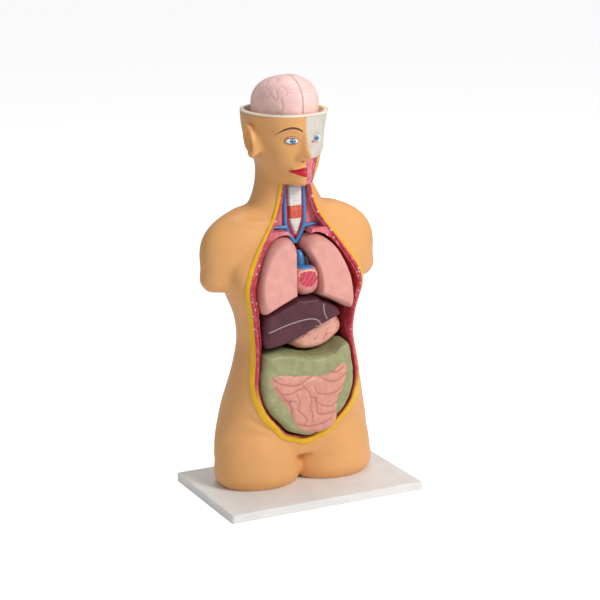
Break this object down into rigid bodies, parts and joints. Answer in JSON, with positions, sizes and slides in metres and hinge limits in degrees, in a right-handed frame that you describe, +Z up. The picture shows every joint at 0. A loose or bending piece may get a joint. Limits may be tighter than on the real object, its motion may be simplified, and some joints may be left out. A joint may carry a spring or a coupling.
{
  "type": "torso anatomy model",
  "caption": "Human torso anatomy model on a flat base, with an open chest and skull and removable organs held by pegs",
  "frame": {"origin": "centre of the base board's underside", "axes": "+Z up; the figure faces -Y; the figure's left side is towards +X"},
  "size_m": [0.25, 0.172, 0.5],
  "materials": {
    "skin_plastic": "satin moulded plastic",
    "fat_yellow": "satin painted plastic",
    "cut_flesh": "satin painted plastic",
    "base_plastic": "fine textured",
    "screw_steel": "zinc plated",
    "bone_plastic": "satin painted plastic",
    "muscle_red": "satin painted plastic",
    "bowl_cream": "satin moulded plastic",
    "eye_white": "gloss painted plastic",
    "cartilage_white": "satin painted plastic",
    "thyroid_red": "satin painted plastic",
    "artery_red": "satin painted plastic",
    "vein_blue": "satin painted plastic",
    "lung_salmon": "satin soft plastic",
    "heart_crimson": "satin painted plastic",
    "auricle_brown": "satin painted plastic",
    "liver_brown": "satin painted plastic",
    "gall_green": "satin painted plastic",
    "stomach_peach": "satin painted plastic",
    "colon_green": "satin painted plastic",
    "bowel_pink": "satin painted plastic",
    "brain_pink": "satin painted plastic",
    "pin_white": "plain moulded plastic"
  },
  "bodies": {
    "torso": {"base_board": "base_plastic", "base_screws": "screw_steel", "torso_shell": "skin_plastic", "fat_rim": "fat_yellow", "organ_tray": "cut_flesh", "skull_bowl": "bowl_cream", "skull_face_half": "bone_plastic", "jaw_muscle": "muscle_red", "left_eyeball": "eye_white", "larynx": "cartilage_white", "thyroid_gland": "thyroid_red", "trachea": "cartilage_white", "carotid_arteries": "artery_red", "jugular_veins": "vein_blue"},
    "right_lung_body": {"right_lung": "lung_salmon", "right_lung_pegs": "pin_white"},
    "left_lung_body": {"left_lung": "lung_salmon", "left_lung_pegs": "pin_white"},
    "heart_body": {"heart_muscle": "heart_crimson", "pulmonary_trunk": "vein_blue", "aorta": "artery_red", "left_auricle": "auricle_brown", "heart_pegs": "pin_white"},
    "liver_body": {"liver": "liver_brown", "gallbladder": "gall_green", "liver_pegs": "pin_white"},
    "stomach_body": {"stomach": "stomach_peach", "stomach_pegs": "pin_white"},
    "intestine_body": {"large_intestine": "colon_green", "descending_colon": "colon_green", "small_intestine": "bowel_pink", "bowel_pegs": "pin_white"},
    "brain_right_body": {"brain_right": "brain_pink", "brain_right_peg": "pin_white"},
    "brain_left_body": {"brain_left": "brain_pink", "brain_left_peg": "pin_white"}
  },
  "joints": [
    {"name": "right_lung_lift_out", "type": "slide", "parent": "torso", "child": "right_lung_body", "axis": [0, -1, 0], "range_m": [0, 0.09]},
    {"name": "left_lung_lift_out", "type": "slide", "parent": "torso", "child": "left_lung_body", "axis": [0, -1, 0], "range_m": [0, 0.09]},
    {"name": "heart_lift_out", "type": "slide", "parent": "torso", "child": "heart_body", "axis": [0, -1, 0], "range_m": [0, 0.09]},
    {"name": "liver_lift_out", "type": "slide", "parent": "torso", "child": "liver_body", "axis": [0, -1, 0], "range_m": [0, 0.09]},
    {"name": "stomach_lift_out", "type": "slide", "parent": "torso", "child": "stomach_body", "axis": [0, -1, 0], "range_m": [0, 0.09]},
    {"name": "intestine_lift_out", "type": "slide", "parent": "torso", "child": "intestine_body", "axis": [0, -1, 0], "range_m": [0, 0.09]},
    {"name": "brain_right_lift_out", "type": "slide", "parent": "torso", "child": "brain_right_body", "axis": [0, 0, 1], "range_m": [0, 0.09]},
    {"name": "brain_left_lift_out", "type": "slide", "parent": "torso", "child": "brain_left_body", "axis": [0, 0, 1], "range_m": [0, 0.09]}
  ]
}
